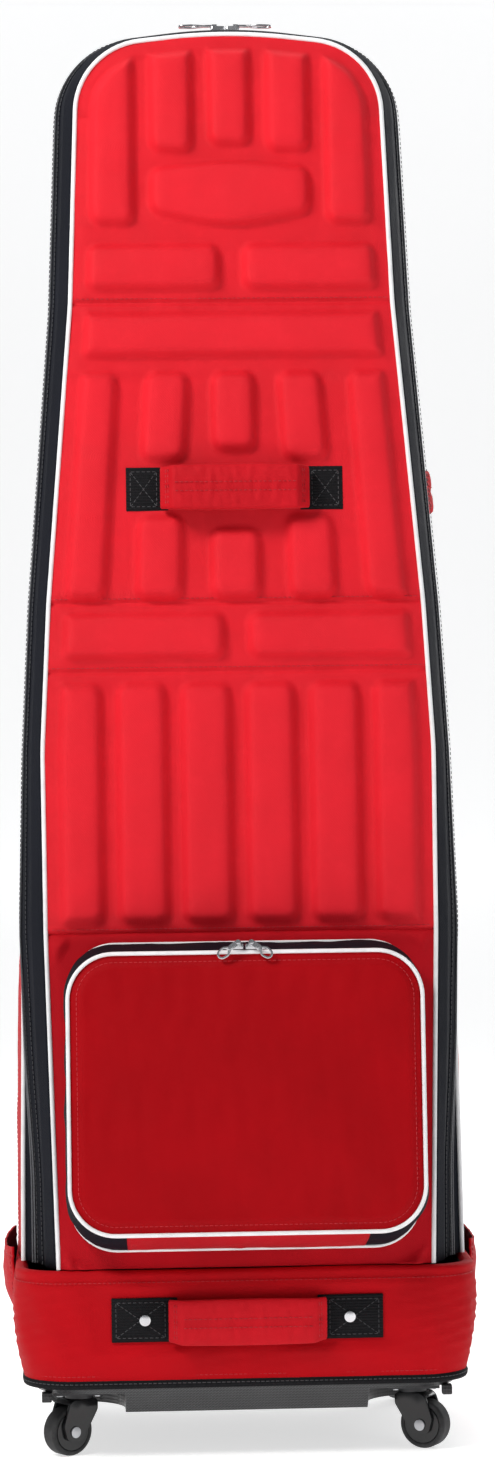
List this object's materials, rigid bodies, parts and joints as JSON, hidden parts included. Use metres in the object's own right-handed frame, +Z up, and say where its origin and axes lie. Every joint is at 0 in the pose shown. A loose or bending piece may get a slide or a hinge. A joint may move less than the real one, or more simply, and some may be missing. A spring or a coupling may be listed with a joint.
{
  "type": "golf travel case",
  "caption": "Tall padded golf travel case with a zipped fold-down front, a front pocket, carry handles and a hard base on swivel casters.",
  "frame": {"origin": "centre of the case's overall box, at floor level under the wheels", "axes": "+Z up the case's height, the zipped front faces -Y, +X to the right of a viewer who faces the front"},
  "size_m": [0.446, 0.3936, 1.3157],
  "materials": {
    "shell_fabric": "red woven polyester over foam",
    "panel_fabric": "red woven polyester moulded over foam",
    "pocket_fabric": "fine red woven polyester",
    "handle_fabric": "padded red wrap with stitching",
    "slip_fabric": "red woven polyester with a hem",
    "dark_tape": "dark woven tape",
    "zip_coil": "coil zipper teeth",
    "white_piping": "white vinyl piping",
    "black_webbing": "black ribbed webbing",
    "bright_metal": "bright plated",
    "steel_fasteners": "zinc plated",
    "tray_plastic": "textured black moulding",
    "caster_plastic": "black moulding",
    "tyre_rubber": "black rubber",
    "buckle_plastic": "black moulding",
    "inner_foam": "grey lining over foam",
    "board": "black board"
  },
  "bodies": {
    "case": {"base_tray": "tray_plastic", "boot": "shell_fabric", "floor_board": "board", "base_binding": "black_webbing", "rear_shell": "shell_fabric", "back_foam": "inner_foam", "tie_straps": "black_webbing", "rear_zip_coil": "zip_coil", "rear_zip_tape": "dark_tape", "rear_piping": "white_piping", "boot_handle_grip": "handle_fabric", "boot_handle_patches": "black_webbing", "boot_handle_rivets": "bright_metal", "side_handle_grip": "handle_fabric", "side_handle_patches": "black_webbing", "slip_pocket_left": "slip_fabric", "slip_pocket_right": "slip_fabric", "buckle_socket": "buckle_plastic", "side_straps": "black_webbing", "caster_plates": "caster_plastic", "caster_screws": "steel_fasteners"},
    "lid": {"front_panel": "panel_fabric", "lower_panel": "panel_fabric", "front_piping": "white_piping", "lid_gusset": "dark_tape", "lid_zip_coil": "zip_coil", "front_handle_grip": "handle_fabric", "front_handle_patches": "black_webbing", "pocket_gusset": "shell_fabric", "pocket_rear_piping": "white_piping", "pocket_zip_coil": "zip_coil"},
    "pocket_flap": {"pocket_face": "pocket_fabric", "pocket_front_piping": "white_piping", "flap_zip_coil": "zip_coil"},
    "buckle_plug": {"buckle_plug": "buckle_plastic"},
    "main_slider_left": {"main_slider_left": "bright_metal"},
    "main_pull_left": {"main_pull_left": "bright_metal"},
    "pocket_slider_left": {"pocket_slider_left": "bright_metal"},
    "pocket_pull_left": {"pocket_pull_left": "bright_metal"},
    "main_slider_right": {"main_slider_right": "bright_metal"},
    "main_pull_right": {"main_pull_right": "bright_metal"},
    "pocket_slider_right": {"pocket_slider_right": "bright_metal"},
    "pocket_pull_right": {"pocket_pull_right": "bright_metal"},
    "caster_fork_front_left": {"caster_fork_front_left": "caster_plastic", "caster_axle_front_left": "steel_fasteners"},
    "caster_wheel_front_left": {"caster_hub_front_left": "caster_plastic", "caster_tyre_front_left": "tyre_rubber"},
    "caster_fork_front_right": {"caster_fork_front_right": "caster_plastic", "caster_axle_front_right": "steel_fasteners"},
    "caster_wheel_front_right": {"caster_hub_front_right": "caster_plastic", "caster_tyre_front_right": "tyre_rubber"},
    "caster_fork_rear_left": {"caster_fork_rear_left": "caster_plastic", "caster_axle_rear_left": "steel_fasteners"},
    "caster_wheel_rear_left": {"caster_hub_rear_left": "caster_plastic", "caster_tyre_rear_left": "tyre_rubber"},
    "caster_fork_rear_right": {"caster_fork_rear_right": "caster_plastic", "caster_axle_rear_right": "steel_fasteners"},
    "caster_wheel_rear_right": {"caster_hub_rear_right": "caster_plastic", "caster_tyre_rear_right": "tyre_rubber"}
  },
  "joints": [
    {"name": "lid_hinge", "type": "hinge", "parent": "case", "child": "lid", "pos_m": [0, -0.14323, 0.173], "axis": [1, 0, 0], "range_deg": [0, 90]},
    {"name": "pocket_flap_hinge", "type": "hinge", "parent": "lid", "child": "pocket_flap", "pos_m": [0, -0.19273, 0.20737], "axis": [1, 0, 0], "range_deg": [0, 90]},
    {"name": "buckle_release", "type": "slide", "parent": "case", "child": "buckle_plug", "axis": [0, 0, 1], "range_m": [0, 0.018]},
    {"name": "main_slider_left_run", "type": "hinge", "parent": "lid", "child": "main_slider_left", "pos_m": [0, -0.03589, 0.83344], "axis": [0, -0.9972, 0.0743], "range_deg": [0, 9]},
    {"name": "main_pull_left_swing", "type": "hinge", "parent": "main_slider_left", "child": "main_pull_left", "pos_m": [-0.01058, -0.00008, 1.31406], "axis": [0, 0.9972, -0.0743], "range_deg": [0, 80]},
    {"name": "pocket_slider_left_run", "type": "slide", "parent": "pocket_flap", "child": "pocket_slider_left", "axis": [-1, 0, 0], "range_m": [0, 0.1]},
    {"name": "pocket_pull_left_swing", "type": "hinge", "parent": "pocket_slider_left", "child": "pocket_pull_left", "pos_m": [-0.006, -0.18088, 0.46736], "axis": [0, 0.9972, -0.0743], "range_deg": [0, 115]},
    {"name": "main_slider_right_run", "type": "hinge", "parent": "lid", "child": "main_slider_right", "pos_m": [0, -0.03589, 0.83344], "axis": [0, 0.9972, -0.0743], "range_deg": [0, 9]},
    {"name": "main_pull_right_swing", "type": "hinge", "parent": "main_slider_right", "child": "main_pull_right", "pos_m": [0.01058, -0.00008, 1.31406], "axis": [0, -0.9972, 0.0743], "range_deg": [0, 80]},
    {"name": "pocket_slider_right_run", "type": "slide", "parent": "pocket_flap", "child": "pocket_slider_right", "axis": [1, 0, 0], "range_m": [0, 0.1]},
    {"name": "pocket_pull_right_swing", "type": "hinge", "parent": "pocket_slider_right", "child": "pocket_pull_right", "pos_m": [0.006, -0.18088, 0.46736], "axis": [0, -0.9972, 0.0743], "range_deg": [0, 115]},
    {"name": "swivel_front_left", "type": "hinge", "parent": "case", "child": "caster_fork_front_left", "pos_m": [-0.152, -0.08823, 0.055], "axis": [0, 0, 1], "continuous": true},
    {"name": "spin_front_left", "type": "hinge", "parent": "caster_fork_front_left", "child": "caster_wheel_front_left", "pos_m": [-0.16265, -0.09568, 0.022], "axis": [0.5736, -0.8192, 0], "continuous": true},
    {"name": "swivel_front_right", "type": "hinge", "parent": "case", "child": "caster_fork_front_right", "pos_m": [0.152, -0.08823, 0.055], "axis": [0, 0, 1], "continuous": true},
    {"name": "spin_front_right", "type": "hinge", "parent": "caster_fork_front_right", "child": "caster_wheel_front_right", "pos_m": [0.16326, -0.09473, 0.022], "axis": [0.5, 0.866, 0], "continuous": true},
    {"name": "swivel_rear_left", "type": "hinge", "parent": "case", "child": "caster_fork_rear_left", "pos_m": [-0.152, 0.14177, 0.055], "axis": [0, 0, 1], "continuous": true},
    {"name": "spin_rear_left", "type": "hinge", "parent": "caster_fork_rear_left", "child": "caster_wheel_rear_left", "pos_m": [-0.16326, 0.14827, 0.022], "axis": [-0.5, -0.866, 0], "continuous": true},
    {"name": "swivel_rear_right", "type": "hinge", "parent": "case", "child": "caster_fork_rear_right", "pos_m": [0.152, 0.14177, 0.055], "axis": [0, 0, 1], "continuous": true},
    {"name": "spin_rear_right", "type": "hinge", "parent": "caster_fork_rear_right", "child": "caster_wheel_rear_right", "pos_m": [0.16265, 0.14923, 0.022], "axis": [-0.5736, 0.8192, 0], "continuous": true}
  ]
}
